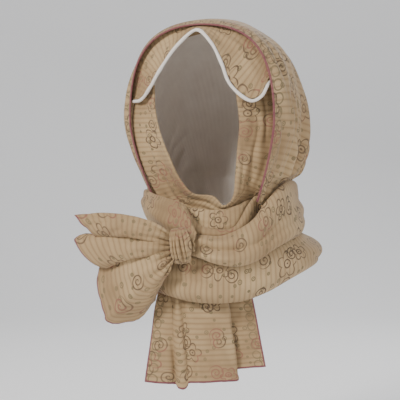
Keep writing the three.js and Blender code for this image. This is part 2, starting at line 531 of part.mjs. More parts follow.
function makeFrontTail() {
  const belly = neckPoint(LOWER_WRAP, 0, 0.5);
  const base = (along, across) => {
    const fold = readTable(FRONT_FOLDS, across);
    const share = mix(fold.top, fold.foot, along);
    const chest = CHEST_ROUND * (share - CHEST_MIDDLE) ** 2 * mix(1, 0.5, along);
    const pleat = fold.depth * PLEAT_DEPTH * mix(0.5, 1, along);
    return new THREE.Vector3(
      share * FRONT_WIDTH - FRONT_OFFSET,
      belly.y + mix(FRONT_TUCK, -FRONT_HEM_FORWARD, along ** 2) + chest + pleat,
      belly.z - along * fold.hem * FRONT_LENGTH,
    );
  };
  return clothSheet({ name: "front_tail", along: 9, across: 32, base });
}

const scarf = new THREE.Group();
scarf.add(
  makeHood(),
  makeBrowFold(),
  makeBrowHem(),
  makeFaceBand(),
  neckBand({ name: "inner_collar", table: INNER_COLLAR, along: 18, across: 4 }),
  neckBand({ name: "cowl_fold", table: COWL_FOLD, along: 16, across: 5 }),
  neckBand({ name: "upper_wrap", table: UPPER_WRAP, along: 38, across: 7, ripple: lengthwiseFolds(1.5, WRAP_FOLD) }),
  neckBand({
    name: "lower_wrap",
    table: LOWER_WRAP,
    along: 40,
    across: 7,
    closed: true,
    ripple: lengthwiseFolds(1.5, WRAP_FOLD),
  }),
  neckBand({ name: "cross_fold", table: CROSS_FOLD, along: 16, across: 6, ripple: lengthwiseFolds(2, CROSS_RIB) }),
  makeKnot(),
  makeSideTail(),
  makeFrontTail(),
);

export default scarf;
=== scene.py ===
"""The looks of a rain head scarf that is worn as a hood: printed knitted cloth backed with pale film.

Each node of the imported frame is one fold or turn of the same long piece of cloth. Each piece here is
that fold again, from the same named sizes and tables, with the folds, wrinkles, turned edges and hems
that the plain solids leave out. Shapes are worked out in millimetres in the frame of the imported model:
+Z up, the front faces -Y, the hood is turned towards the wearer's right, and the origin is the inside
of the hood's top. s runs along the length of the cloth and t across its width, both in millimetres.
u and v are the shares of the way along and across, from 0 to 1.
"""
import math

import bpy
import numpy as np
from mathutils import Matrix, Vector


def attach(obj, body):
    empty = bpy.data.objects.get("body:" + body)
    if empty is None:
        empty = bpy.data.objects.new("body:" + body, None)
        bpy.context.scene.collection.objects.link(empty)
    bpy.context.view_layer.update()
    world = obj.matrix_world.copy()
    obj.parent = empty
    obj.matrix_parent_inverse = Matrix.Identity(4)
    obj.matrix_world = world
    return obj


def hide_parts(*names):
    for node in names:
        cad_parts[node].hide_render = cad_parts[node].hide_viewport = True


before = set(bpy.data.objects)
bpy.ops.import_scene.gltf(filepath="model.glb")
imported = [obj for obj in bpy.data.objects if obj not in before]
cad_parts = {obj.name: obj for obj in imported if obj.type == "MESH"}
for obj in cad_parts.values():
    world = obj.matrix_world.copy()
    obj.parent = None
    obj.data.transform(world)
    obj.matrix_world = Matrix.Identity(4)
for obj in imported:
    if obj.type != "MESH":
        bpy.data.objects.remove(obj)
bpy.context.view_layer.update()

MM = 0.001

# Cloth
WALL = 1.6
LAYER_GAP = 0.6
CELL = 2.0
FEWEST_COLUMNS = 60
FEWEST_ROWS = 30
ROUGH_COLUMNS = 40
ROUGH_ROWS = 24
FAR = 1000.0
LONG_SIDES = ("low", "high")
HEM_ROLL = 4.6
ROLL_COLUMNS = 220
ROLL_SIDES = 16
ROLL_TAPER = 0.015
ROLL_TIP = 0.04
HEM_GAP = 0.55
HEM_WIDTH = 5.0
HEM_EXTRA = 0.45
HEM_THINNING = 0.5
HEM_ROUNDING = 1.5
TURN_WIDTH = 6.0
TURN_DEPTH = 2.2
FACING_WIDTH = 80
FOOT_FACING = 26

# Ripples along the brow's roll: height as a share of its radius, radians over its length and the start
ROLL_RIPPLES = ((0.06, 47, 0), (0.05, 83, 1))

# Hood, from its top down to the turns round the neck
HALF_WIDTH = 117
HALF_DEPTH = 125
HOOD_HEIGHT = 254
HEAD_TURN = 20
CROWN_FULLNESS = 0.5
GATHER_DEPTH = 2.4
GATHERS = 7
CHEEK_FOLD = 5.5
CHEEK_CROWN = 5
WIDEST_HEIGHT = 0.45
FOOT_SHARE = 0.32
FOOT_FLARE = 1.5
EDGE_FADE = 0.08

# Cloth over the brow
BROW_TUCK = 0.08
BROW_CROWN = 3
HEAD_MIDDLE = -0.4
BROW_START = -0.085
BROW_FINISH = 1.04
FACE_REACH = 0.4
FACE_REACH_START = (0.7, 0.73)
FACE_REACH_END = (0.715, 0.775)

# Turns round the neck
NECK_LINE = -0.985 * HOOD_HEIGHT
WRAP_DROP = 120
NECK_X = 5
NECK_Y = 12.5
WRAP_FOLD = 2.6
BAND_LIFT = 1.6
ROOT_LIFT = 2.6
NAPE_TUCK = 3.0
NAPE_FLAT = 0.75
NAPE_TOP = 200
NAPE_FOOT = 216
NAPE_START = (0.1, 0.24)
CROSS_RIB = 1.5
COWL_LONGER = 3

# Knot
KNOT_TURN = -24
KNOT_DOWN = 0.85
KNOT_WIDTH = 25
KNOT_END = 0.75
KNOT_HEIGHT = 42
KNOT_DEPTH = 11
KNOT_ROUND = 0.6
KNOT_STAND = 6.9
KNOT_TILT = 8
KNOT_EDGE = 2
KNOT_GATHER = 1.5
KNOT_GATHERS = 3.5

# Loose ends
SIDE_TURN = -27
SIDE_DOWN = 0.75
SIDE_REACH = 132
SIDE_SPREAD = 100
SIDE_START_OUT = -3
SIDE_START_FORWARD = 3.6
SIDE_START_DROP = 2
SIDE_ROOT_HEIGHT = 18
SIDE_SAG = 11
SIDE_MIDDLE_FORWARD = 8
SIDE_TIP_BACK = 16
SIDE_GATHERS = 9
SIDE_GATHER_DEPTH = 1.9
FRONT_LENGTH = 138
FRONT_WIDTH = 157
FRONT_OFFSET = 14
FRONT_TUCK = 27
FRONT_HEM_FORWARD = 2
FRONT_GATHERS = 8
FRONT_GATHER_DEPTH = 1.3
CHEST_MIDDLE = 0.12
CHEST_ROUND = 84
PLEAT_DEPTH = 15
PLEAT_OPEN = 0.8

# Creases and waves: height, length and width in millimetres, and the seed
HOOD_DRAPE = (2.6, 260, 46, 11)
HOOD_WRINKLES = (0.9, 110, 22, 12)
CROWN_WAVES = (1.2, 160, 120, 13)
BROW_CREASES = (1.1, 120, 20, 21)
FACE_CREASES = (2.0, 190, 24, 31)
FACE_WAVES = (0.5, 60, 30, 32)
COLLAR_CREASES = (0.9, 120, 14, 41)
KNOT_CREASES = (2.8, 95, 9.5, 51)
SIDE_CREASES = (1.3, 90, 24, 61)
FRONT_CREASES = (1.2, 150, 26, 71)
WAVE_COUNT = 36
VALLEY_ROUND = 0.1
SOFT_MIDDLE = 0.4

# The cheek fold's line on the hood: its height down the hoops, how far back it lies there, how far
# before and behind the line it rises and falls, and where down the hoops it starts and ends
LAP_CLIMB = (0.5, 0.64, 0.73, 0.84, 0.91, 0.98)
LAP_LINE = (0.12, 0.18, 0.26, 0.35, 0.31, 0.15)
LAP_RISE = (-0.14, -0.02)
LAP_FALL = (0, 0.014)
LAP_START = (0.45, 0.65)
LAP_END = (0.94, 1)

# Print and knit, in metres on the cloth. A scatter is its spacing, how uneven it is and where it starts.
FLOWER_SCATTER = (0.044, 0.75, 3.0)
FLOWER_SHARE = 0.7
FLOWER_RADIUS = 0.013
CURL_SCATTER = (0.037, 0.8, 11.0)
CURL_SHARE = 0.55
CURL_TURNS = 2.1
CURL_PITCH = 0.0046
SPRIG_SCATTER = (0.013, 0.9, 23.0)
SPRIG_SHARE = 0.6
SPRIG_RADIUS = 0.0022
LOOP_PITCH = 0.014
LOOP_INSET = 0.009
LOOP_RADIUS = 0.005
PRINT_LINE = 0.0011
PRINT_WOBBLE = 0.008
SHARP = 0.001
RIB_PITCH = 0.0068
RIB_ROUND = 0.45
STITCH_PITCH = 0.0024
WALE_PITCH = 0.0028
HEM_LINE = 0.0016
BUMP_HEIGHT = 0.0006


def colour(red, green, blue):
    """A shader colour from the usual 0 to 255 screen values."""
    linear = [((c / 255 + 0.055) / 1.055) ** 2.4 if c > 10 else c / 255 / 12.92 for c in (red, green, blue)]
    return (*linear, 1.0)


KNIT_LIGHT = colour(175, 149, 111)
KNIT_DARK = colour(141, 115, 83)
INK_BROWN = colour(84, 66, 52)
INK_OLIVE = colour(104, 92, 66)
INK_PLUM = colour(128, 70, 66)
HEM_THREAD = colour(116, 60, 72)
FILM_LIGHT = colour(226, 219, 210)
FILM_DARK = colour(206, 196, 186)

# Stage, light and camera, in metres and radians
FLOOR_LEVEL = -0.62
FLOOR_DEPTH = 5.0
SWEEP_START = 1.4
SWEEP_RADIUS = 1.0
SWEEP_STEPS = 12
BACKDROP_HEIGHT = 3.5
STAGE_HALF_WIDTH = 4.0
BACKDROP_SHADE = colour(244, 244, 244)
BACKDROP_ROUGHNESS = 0.95
WORLD_STRENGTH = 0.42
WORLD_TINT = (0.93, 0.95, 1.0, 1.0)
LOOK_AT = (-0.021, 0.0, -0.241)
LENS = 110
CAMERA_TURN = 0.0
CAMERA_RISE = math.radians(3)
CAMERA_DISTANCE = 1.68

# Area lights: name, place, size in metres, watts and tint
LIGHTS = (
    ("key", (-1.2, -1.1, 0.8), 0.55, 39, (1.0, 0.97, 0.93)),
    ("fill", (1.3, -1.2, 0.1), 1.4, 18, (0.97, 0.98, 1.0)),
    ("rim", (0.5, 1.1, 0.9), 0.8, 16, (1.0, 1.0, 1.0)),
)


def rows(columns, *values):
    """A table: the column names in one string, then a row for each section or fold."""
    return {name: np.array(column, float) for name, column in zip(columns.split(), zip(*values))}


HOOD_HOOPS = rows(
    "at width apex_y apex_z right_x right_y left_x left_y foot_z",
    (0.0, 0.88, -0.5, -0.03, 0.7, -0.57, 0.6, -0.4, -0.94),
    (0.12, 0.94, -0.36, 0.0, 0.7, -0.42, 0.62, -0.28, -0.96),
    (0.3, 0.99, 0.0, 0.0, 0.68, -0.16, 0.62, -0.1, -0.98),
    (0.45, 1.0, 0.4, -0.08, 0.62, 0.06, 0.6, 0.06, -1.0),
    (0.6, 0.96, 0.72, -0.24, 0.5, 0.24, 0.5, 0.24, -1.0),
    (0.72, 0.87, 0.86, -0.43, 0.41, 0.38, 0.41, 0.38, -1.0),
    (0.84, 0.72, 0.84, -0.66, 0.36, 0.48, 0.36, 0.48, -1.0),
    (0.93, 0.56, 0.74, -0.84, 0.34, 0.55, 0.34, 0.55, -1.0),
    (1.0, 0.4, 0.66, -1.0, 0.33, 0.59, 0.33, 0.59, -1.0),
)

BROW_LINE = rows(
    "at hood_at x y z",
    (-0.085, 0.191, -0.878, -0.402, -0.408),
    (0.0, 0.205, -0.74, -0.45, -0.4),
    (0.12, 0.24, -0.6, -0.52, -0.34),
    (0.25, 0.3, -0.47, -0.57, -0.26),
    (0.4, 0.43, -0.24, -0.6, -0.13),
    (0.5, 0.5, 0.0, -0.59, -0.05),
    (0.6, 0.56, 0.2, -0.62, -0.12),
    (0.7, 0.63, 0.33, -0.64, -0.225),
    (0.8, 0.7, 0.43, -0.63, -0.335),
    (0.88, 0.728, 0.62, -0.6, -0.41),
    (0.95, 0.74, 0.735, -0.565, -0.392),
    (1.0, 0.748, 0.79, -0.515, -0.335),
    (1.04, 0.748, 0.813, -0.464, -0.311),
)

FACE_SECTIONS = rows(
    "at in_x in_y in_z out_x out_y out_z",
    (0.0, -0.58, -0.46, -0.335, -0.79, -0.38, -0.335),
    (0.1, -0.53, -0.54, -0.48, -0.87, -0.38, -0.48),
    (0.2, -0.45, -0.575, -0.6, -0.86, -0.38, -0.6),
    (0.3, -0.34, -0.6, -0.71, -0.795, -0.38, -0.72),
    (0.4, -0.2, -0.615, -0.83, -0.645, -0.38, -0.86),
    (0.48, -0.03, -0.62, -0.905, -0.42, -0.46, -0.97),
    (0.56, 0.2, -0.62, -0.915, -0.05, -0.56, -1.02),
    (0.63, 0.33, -0.62, -0.965, 0.26, -0.54, -1.03),
    (0.7, 0.44, -0.6, -0.92, 0.53, -0.41, -0.94),
    (0.78, 0.465, -0.59, -0.79, 0.745, -0.39, -0.85),
    (0.86, 0.48, -0.575, -0.66, 0.85, -0.37, -0.69),
    (0.93, 0.49, -0.55, -0.53, 0.9, -0.36, -0.52),
    (1.0, 0.43, -0.52, -0.34, 0.79, -0.36, -0.335),
)

INNER_COLLAR = rows(
    "turn upper_reach belly_reach lower_reach upper lower belly",
    (-58, 0.783, 0.803, 0.793, 0.02, 0.22, 0.5),
    (-40, 0.8, 0.83, 0.82, -0.02, 0.26, 0.5),
    (-20, 0.82, 0.86, 0.85, -0.02, 0.3, 0.5),
    (0, 0.83, 0.87, 0.86, -0.01, 0.32, 0.5),
    (15, 0.82, 0.85, 0.84, -0.06, 0.3, 0.5),
    (28, 0.75, 0.78, 0.77, -0.109, 0.26, 0.5),
    (44, 0.62, 0.64, 0.63, -0.02, 0.2, 0.5),
)

COWL_FOLD = rows(
    "turn upper_reach belly_reach lower_reach upper lower belly",
    (-38, 0.87, 0.89, 0.88, -0.08, 0.16, 0.4),
    (-27, 0.89, 0.92, 0.91, -0.06, 0.26, 0.4),
    (-15, 0.9, 0.94, 0.92, 0.14, 0.37, 0.4),
    (0, 0.91, 0.945, 0.92, 0.19, 0.39, 0.4),
    (10, 0.9, 0.94, 0.92, 0.16, 0.37, 0.4),
    (20, 0.87, 0.91, 0.89, -0.04, 0.26, 0.4),
    (30, 0.81, 0.84, 0.83, -0.155, 0.14, 0.4),
)

UPPER_WRAP = rows(
    "turn upper_reach belly_reach lower_reach upper lower belly",
    (-27, 0.98, 1.02, 1.0, 0.3, 0.44, 0.5),
    (-15, 0.97, 1.05, 1.04, 0.26, 0.48, 0.5),
    (0, 0.96, 1.08, 1.07, 0.27, 0.56, 0.55),
    (12, 0.96, 1.09, 1.08, 0.2, 0.575, 0.55),
    (22, 0.98, 1.1, 1.09, 0.09, 0.52, 0.6),
    (32, 0.975, 1.09, 1.09, -0.1, 0.42, 0.65),
    (45, 0.955, 1.09, 1.09, -0.25, 0.33, 0.7),
    (65, 0.89, 1.03, 1.03, -0.31, 0.28, 0.7),
    (90, 0.885, 0.955, 0.945, -0.27, 0.24, 0.65),
    (120, 0.892, 0.93, 0.9, -0.25, 0.2, 0.55),
    (150, 0.83, 0.88, 0.84, -0.26, 0.17, 0.5),
    (180, 0.82, 0.87, 0.83, -0.28, 0.16, 0.5),
    (210, 0.9, 0.925, 0.88, -0.27, 0.16, 0.5),
    (240, 0.84, 0.87, 0.83, -0.22, 0.12, 0.5),
    (264, 0.83, 0.845, 0.825, -0.13, 0.05, 0.5),
)

LOWER_WRAP = rows(
    "turn upper_reach belly_reach lower_reach upper lower belly",
    (0, 0.935, 1.04, 0.98, 0.42, 0.99, 0.5),
    (15, 0.94, 1.06, 1.0, 0.41, 0.965, 0.52),
    (30, 0.95, 1.11, 1.06, 0.33, 0.875, 0.58),
    (45, 0.93, 1.16, 1.12, 0.25, 0.75, 0.65),
    (60, 0.884, 1.19, 1.16, 0.196, 0.66, 0.7),
    (75, 0.84, 1.18, 1.16, 0.19, 0.62, 0.75),
    (90, 0.8, 1.14, 1.12, 0.19, 0.6, 0.75),
    (112, 0.76, 1.04, 1.0, 0.16, 0.59, 0.65),
    (135, 0.71, 0.95, 0.9, 0.13, 0.57, 0.55),
    (160, 0.68, 0.9, 0.85, 0.11, 0.55, 0.5),
    (180, 0.67, 0.89, 0.84, 0.11, 0.54, 0.5),
    (205, 0.69, 0.9, 0.85, 0.12, 0.56, 0.5),
    (230, 0.74, 0.94, 0.9, 0.13, 0.62, 0.5),
    (255, 0.8, 0.99, 0.94, 0.18, 0.7, 0.5),
    (275, 0.84, 1.01, 0.97, 0.24, 0.77, 0.5),
    (295, 0.87, 1.02, 0.98, 0.3, 0.84, 0.5),
    (320, 0.91, 1.02, 0.98, 0.36, 0.92, 0.5),
    (342, 0.92, 1.03, 0.98, 0.41, 0.98, 0.5),
)

CROSS_FOLD = rows(
    "turn upper_reach belly_reach lower_reach upper lower belly",
    (-112, 0.88, 0.9, 0.89, -0.16, 0.03, 0.5),
    (-90, 0.86, 0.88, 0.87, -0.19, 0.05, 0.5),
    (-75, 0.87, 0.9, 0.89, -0.19, 0.08, 0.5),
    (-60, 0.89, 0.94, 0.93, -0.17, 0.14, 0.5),
    (-45, 0.94, 1.01, 1.0, -0.145, 0.22, 0.5),
    (-35, 0.98, 1.05, 1.05, -0.12, 0.3, 0.5),
    (-26, 1.0, 1.07, 1.07, -0.08, 0.37, 0.5),
    (-20, 1.02, 1.075, 1.075, 0.03, 0.41, 0.5),
    (-15, 1.04, 1.075, 1.075, 0.22, 0.42, 0.5),
)

SIDE_RAYS = rows(
    "at mid_out mid_up tip_out tip_up depth",
    (0.0, 0.4, 0.4, 1.0, 0.4, 0.25),
    (0.08, 0.41, 0.31, 0.93, 0.31, -0.2),
    (0.16, 0.42, 0.21, 0.84, 0.2, -0.25),
    (0.22, 0.42, 0.15, 0.77, 0.12, 0.05),
    (0.27, 0.42, 0.18, 0.86, 0.14, 0.5),
    (0.32, 0.43, 0.16, 1.0, 0.1, 0.8),
    (0.39, 0.43, 0.07, 0.99, 0.02, 0.4),
    (0.47, 0.42, -0.04, 0.87, -0.18, 0.15),
    (0.53, 0.4, -0.12, 0.71, -0.28, 0.3),
    (0.58, 0.39, -0.09, 0.72, -0.26, 0.75),
    (0.63, 0.39, -0.12, 0.76, -0.31, 1.0),
    (0.72, 0.37, -0.25, 0.78, -0.55, 0.6),
    (0.82, 0.33, -0.44, 0.715, -0.88, 0.35),
    (0.88, 0.28, -0.5, 0.67, -1.0, 0.35),
    (0.94, 0.2, -0.5, 0.4, -0.96, 0.4),
    (1.0, 0.12, -0.4, 0.22, -0.71, 0.5),
)

FRONT_FOLDS = rows(
    "at top foot hem depth",
    (0.0, -0.38, -0.5, 1.0, 0.1),
    (0.08, -0.345, -0.42, 1.0, -0.15),
    (0.16, -0.305, -0.31, 1.005, -0.1),
    (0.22, -0.28, -0.24, 1.01, 0.25),
    (0.26, -0.26, -0.21, 1.04, -0.3),
    (0.31, -0.238, -0.165, 1.04, -0.25),
    (0.35, -0.215, -0.14, 1.0, 0.25),
    (0.46, -0.1, -0.03, 0.985, -0.1),
    (0.57, 0.05, 0.12, 0.97, -0.25),
    (0.66, 0.15, 0.265, 0.965, 0.0),
    (0.7, 0.12, 0.25, 0.93, 0.5),
    (0.74, 0.08, 0.21, 0.9, 0.75),
    (0.79, 0.11, 0.25, 0.88, 1.0),
    (0.89, 0.24, 0.38, 0.86, 0.7),
    (1.0, 0.36, 0.5, 0.85, 0.4),
)


def lerp(start, end, share):
    return start + (end - start) * share


def smooth(value, low, high):
    share = np.clip((value - low) / (high - low), 0, 1)
    return share * share * (3 - 2 * share)


def between(value, rise, fall):
    """One between a rise and a fall, which are each given as the places where they start and end."""
    return smooth(value, *rise) * (1 - smooth(value, *fall))


def read_table(table, place, key="at", closed=False):
    """Every column of a table at many places, smoothly between its rows, round 360 degrees if closed."""
    columns = dict(table)
    if closed:
        columns = {name: np.concatenate([c[-1:], c, c[:2]]) for name, c in table.items()}
        columns[key] = np.concatenate([table[key][-1:] - 360, table[key], table[key][:2] + 360])
    at = columns[key]
    low = np.clip(np.searchsorted(at, place, side="right") - 1, 0, len(at) - 2)
    high = low + 1
    before = np.maximum(low - 1, 0)
    after = np.minimum(low + 2, len(at) - 1)
    span = at[high] - at[low]
    share = np.clip((place - at[low]) / span, 0, 1)
    found = {}
    for name, column in columns.items():
        start_slope = (column[high] - column[before]) / (at[high] - at[before]) * span
        end_slope = (column[after] - column[low]) / (at[after] - at[low]) * span
        found[name] = (
            (2 * share**3 - 3 * share**2 + 1) * column[low]
            + (share**3 - 2 * share**2 + share) * start_slope
            + (3 * share**2 - 2 * share**3) * column[high]
            + (share**3 - share**2) * end_slope
        )
    return found


def head_point(x, y, z):
    """A place in the hood's own turned frame, in shares of the hood's sizes."""
    turn = math.radians(-HEAD_TURN)
    across = x * HALF_WIDTH
    deep = y * HALF_DEPTH
    return np.stack(
        [
            across * math.cos(turn) - deep * math.sin(turn),
            across * math.sin(turn) + deep * math.cos(turn),
            z * HOOD_HEIGHT,
        ],
        axis=-1,
    )


def hood_point(along, back):
    """The hood's cloth: each half hoop climbs from its foot to its widest place, then to the apex."""
    hoop = read_table(HOOD_HOOPS, back)
    is_right = along > 0.5
    foot_x = np.where(is_right, hoop["right_x"], hoop["left_x"])
    foot_y = np.where(is_right, hoop["right_y"], hoop["left_y"])
    climb = 1 - np.abs(2 * along - 1)
    below = np.clip(1 - climb / FOOT_SHARE, 0, 1)
    angle = np.pi / 2 * np.clip((climb - FOOT_SHARE) / (1 - FOOT_SHARE), 0, 1)
    sine = np.sin(angle)
    low_spread = 1 - (1 - foot_x / hoop["width"]) * below**FOOT_FLARE
    high_height = WIDEST_HEIGHT + (1 - WIDEST_HEIGHT) * (sine + CROWN_FULLNESS * sine * (1 - sine))
    is_low = climb < FOOT_SHARE
    spread = np.where(is_low, low_spread, np.cos(angle))
    height = np.where(is_low, WIDEST_HEIGHT * (1 - below), high_height)
    return head_point(
        np.where(is_right, 1, -1) * hoop["width"] * spread,
        lerp(foot_y, hoop["apex_y"], height),
        lerp(hoop["foot_z"], hoop["apex_z"], height) + WALL / 2 / HOOD_HEIGHT,
    )


def unit(vectors):
    return vectors / np.linalg.norm(vectors, axis=-1, keepdims=True)


def under_hood(along, back, layers):
    """A point under the hood's cloth, so many layers of cloth further in."""
    step = 0.01
    along_edge = hood_point(along + step, back) - hood_point(along - step, back)
    towards_back = hood_point(along, back + step) - hood_point(along, back - step)
    outward = unit(np.cross(along_edge, towards_back))
    return hood_point(along, back) - layers * (WALL + LAYER_GAP) * outward


def brow_point(along, across):
    """The cloth over the brow, from under the hood's front edge forward to the pale hem."""
    along = lerp(BROW_START, BROW_FINISH, along)
    row = read_table(BROW_LINE, along)
    hidden = under_hood(row["hood_at"], np.full_like(along, BROW_TUCK), 1)
    hem = head_point(row["x"], row["y"], row["z"])
    return lerp(hidden, hem, across[..., None])


def face_point(along, across):
    """The band that frames the opening. It reaches further under the hood's foot at the wearer's left."""
    further = FACE_REACH * between(along, FACE_REACH_START, FACE_REACH_END)
    across = lerp(-further, 1, across)
    row = read_table(FACE_SECTIONS, along)
    free = head_point(row["in_x"], row["in_y"], row["in_z"])
    hidden = head_point(row["out_x"], row["out_y"], row["out_z"])
    return lerp(hidden, free, across[..., None])


def neck_point(table, turn, down, closed=False):
    """A point on a band round the neck: down goes from its upper edge to its lower edge."""
    turn = np.asarray(turn, float)
    row = read_table(table, turn, "turn", closed)
    drop = (1 - np.cos(np.pi * down)) / 2
    quarter = np.pi / 2
    belly = row["belly"]
    upper = np.sin(quarter * np.clip(drop / belly, 0, 1))
    lower = np.cos(quarter * np.clip((drop - belly) / (1 - belly), 0, 1))
    reach = np.where(
        drop < belly,
        lerp(row["upper_reach"], row["belly_reach"], upper),
        lerp(row["lower_reach"], row["belly_reach"], lower),
    )
    angle = np.radians(turn)
    return np.stack(
        [
            NECK_X + reach * HALF_WIDTH * np.sin(angle),
            NECK_Y - reach * HALF_DEPTH * np.cos(angle),
            NECK_LINE - WRAP_DROP * lerp(row["upper"], row["lower"], drop),
        ],
        axis=-1,
    )


def band_points(table, closed=False, seam=0.0, longer=0.0):
    """The surface of a whole band, so many degrees longer than its table.

    A closed one goes all the way round from its seam.
    """
    first = seam if closed else table["turn"][0]
    span = 360 if closed else table["turn"][-1] - first + longer

    def base(along, down):
        turn = first + span * along
        return neck_point(table, turn % 360 if closed else turn, down, closed)

    return base


def knot_point(along, across):
    centre = neck_point(CROSS_FOLD, KNOT_TURN, KNOT_DOWN)
    tilt = math.radians(KNOT_TILT)
    arch = np.sin(np.pi * along)
    side = (across - 0.5) * KNOT_WIDTH * lerp(KNOT_END, 1, arch)
    rise = (0.5 - along) * KNOT_HEIGHT
    forward = KNOT_DEPTH * np.clip(arch, 0, 1) ** KNOT_ROUND - KNOT_EDGE * (2 * across - 1) ** 2
    return np.stack(
        [
            centre[0] + side * math.cos(tilt) - rise * math.sin(tilt),
            centre[1] - KNOT_STAND - forward,
            centre[2] + rise * math.cos(tilt) + side * math.sin(tilt),
        ],
        axis=-1,
    )


def side_point(along, across):
    """The fan of pleats: each ray runs from the knot through a middle point to the cut edge."""
    root = neck_point(CROSS_FOLD, SIDE_TURN, SIDE_DOWN)
    ray = read_table(SIDE_RAYS, across)

    def out_at(out, up, forward):
        return np.stack(
            [
                root[0] - out * SIDE_REACH,
                np.full_like(out, root[1] - forward),
                root[2] - SIDE_SAG + up * SIDE_SPREAD,
            ],
            axis=-1,
        )

    start = np.stack(
        [
            np.full_like(across, root[0] - SIDE_START_OUT),
            np.full_like(across, root[1] - SIDE_START_FORWARD),
            root[2] - SIDE_START_DROP - SIDE_ROOT_HEIGHT * across,
        ],
        axis=-1,
    )
    middle = out_at(ray["mid_out"], ray["mid_up"], SIDE_MIDDLE_FORWARD)
    tip = out_at(ray["tip_out"], ray["tip_up"], -SIDE_TIP_BACK)
    place = along[..., None]
    point = (
        start * (1 - place) * (1 - 2 * place)
        + middle * 4 * place * (1 - place)
        + tip * place * (2 * place - 1)
    )
    point[..., 1] += ray["depth"] * PLEAT_DEPTH * smooth(along, 0, PLEAT_OPEN)
    return point


def front_point(along, across):
    """The end that hangs in panels down the front."""
    belly = neck_point(LOWER_WRAP, 0, 0.5)
    fold = read_table(FRONT_FOLDS, across)
    share = lerp(fold["top"], fold["foot"], along)
    chest = CHEST_ROUND * (share - CHEST_MIDDLE) ** 2 * lerp(1, 0.5, along)
    pleat = fold["depth"] * PLEAT_DEPTH * lerp(0.5, 1, along)
    return np.stack(
        [
            share * FRONT_WIDTH - FRONT_OFFSET,
            belly[1] + lerp(FRONT_TUCK, -FRONT_HEM_FORWARD, along**2) + chest + pleat,
            belly[2] - along * fold["hem"] * FRONT_LENGTH,
        ],
        axis=-1,
    )


# Relief of the cloth, in millimetres outwards from each plain surface


def waves(s, t, length, width, seed):
    """Smooth seeded waves about one high, so long along the cloth and so wide across it."""
    random = np.random.default_rng(seed)
    total = np.zeros_like(s)
    for _ in range(WAVE_COUNT):
        along, across = random.normal(size=2)
        start = random.uniform(0, 2 * np.pi)
        total += np.sin(2 * np.pi * (along * s / length + across * t / width) + start)
    return total / math.sqrt(WAVE_COUNT / 2)


def creases(s, t, length, width, seed):
    """Round ridges with narrow valleys between them, from 0 in a valley to about 1."""
    return np.sqrt(waves(s, t, length, width, seed) ** 2 + VALLEY_ROUND**2) - VALLEY_ROUND


def raised(pattern, s, t, height, length, width, seed):
    """Waves or creases of a given height, length and width, drawn from a seed."""
    return height * pattern(s, t, length, width, seed)


def hood_relief(u, v, s, t):
    low = np.abs(2 * u - 1)
    gather = GATHER_DEPTH * smooth(low, 0.45, 1) * np.sin(2 * np.pi * GATHERS * v)
    edges = between(v, (0, EDGE_FADE), (1 - EDGE_FADE, 1))
    behind = v - np.interp(low, LAP_CLIMB, LAP_LINE)
    lap = between(behind, LAP_RISE, LAP_FALL)
    lap_ends = between(low, LAP_START, LAP_END)
    drape = raised(creases, s, t, *HOOD_DRAPE) * smooth(low, 0.15, 0.7)
    small = raised(creases, s, t, *HOOD_WRINKLES) * smooth(low, 0.4, 0.9)
    crown = raised(waves, s, t, *CROWN_WAVES) * smooth(v, EDGE_FADE, 0.25)
    nape = smooth(-hood_point(u, v)[..., 2], NAPE_TOP, NAPE_FOOT) * smooth(v, *NAPE_START)
    folds = (gather + drape + small) * edges * (1 - NAPE_FLAT * nape) - NAPE_TUCK * nape
    return folds + crown + CHEEK_FOLD * lap * lap_ends


def brow_relief(u, v, s, t):
    inside = np.sin(np.pi * v)
    dome = -BROW_CROWN * inside * np.sin(np.pi * u)
    return dome + raised(creases, s, t, *BROW_CREASES) * inside


def face_relief(u, v, s, t):
    inside = np.sin(np.pi * v)
    folds = raised(creases, s, t, *FACE_CREASES) + raised(waves, s, t, *FACE_WAVES)
    return -CHEEK_CROWN * inside + folds * inside


def band_relief(
    folds,
    depth,
    seed,
    width=60.0,
    length=300.0,
    soft=3.4,
    lift=BAND_LIFT,
    fade=0.0,
    knot_at=-1.0,
    knot_reach=0.1,
):
    """Long folds along a band: so many main ones of an even depth, and soft ones from a seed.

    They fade where an end is hidden. knot_at is where along the band the cloth is gathered by the knot.
    """

    def relief(u, v, s, t):
        body = np.sin(np.pi * v)
        main = depth * body * np.sin(2 * np.pi * folds * v + 2 * u)
        soft_folds = soft * body**1.5 * (creases(s, t, length, width, seed) - SOFT_MIDDLE)
        shown = between(u, (0, fade + 0.001), (1 - 2 * fade, 1 - fade)) if fade else 1
        near_knot = 1 - smooth(np.abs(u - knot_at), knot_reach / 4, knot_reach)
        gathers = KNOT_GATHER * body * np.sin(2 * np.pi * KNOT_GATHERS * v + 3 * u) * near_knot
        return (lift + main + soft_folds) * shown + gathers

    return relief


def collar_relief(u, v, s, t):
    return raised(creases, s, t, *COLLAR_CREASES) * np.sin(np.pi * v)


def knot_relief(u, v, s, t):
    arch = np.sin(np.pi * u)
    return ROOT_LIFT + raised(creases, s, t, *KNOT_CREASES) * arch**0.5 - (1 - arch) ** 3


def side_relief(u, v, s, t):
    gathers = np.sin(2 * np.pi * SIDE_GATHERS * v + 3 * u) * (1 - smooth(u, 0.1, 0.75))
    root = ROOT_LIFT * (1 - smooth(u, 0.2, 0.5))
    folds = raised(creases, s, t, *SIDE_CREASES) * smooth(u, 0.05, 0.3)
    return root + SIDE_GATHER_DEPTH * gathers * smooth(u, 0, 0.12) + folds


def front_relief(u, v, s, t):
    gathers = np.sin(2 * np.pi * FRONT_GATHERS * v + 2 * u) * (1 - smooth(u, 0.05, 0.55))
    root = ROOT_LIFT * (1 - smooth(u, 0.15, 0.4))
    folds = raised(creases, s, t, *FRONT_CREASES) * smooth(u, 0, 0.35)
    return FRONT_GATHER_DEPTH * gathers - root + folds


# Materials


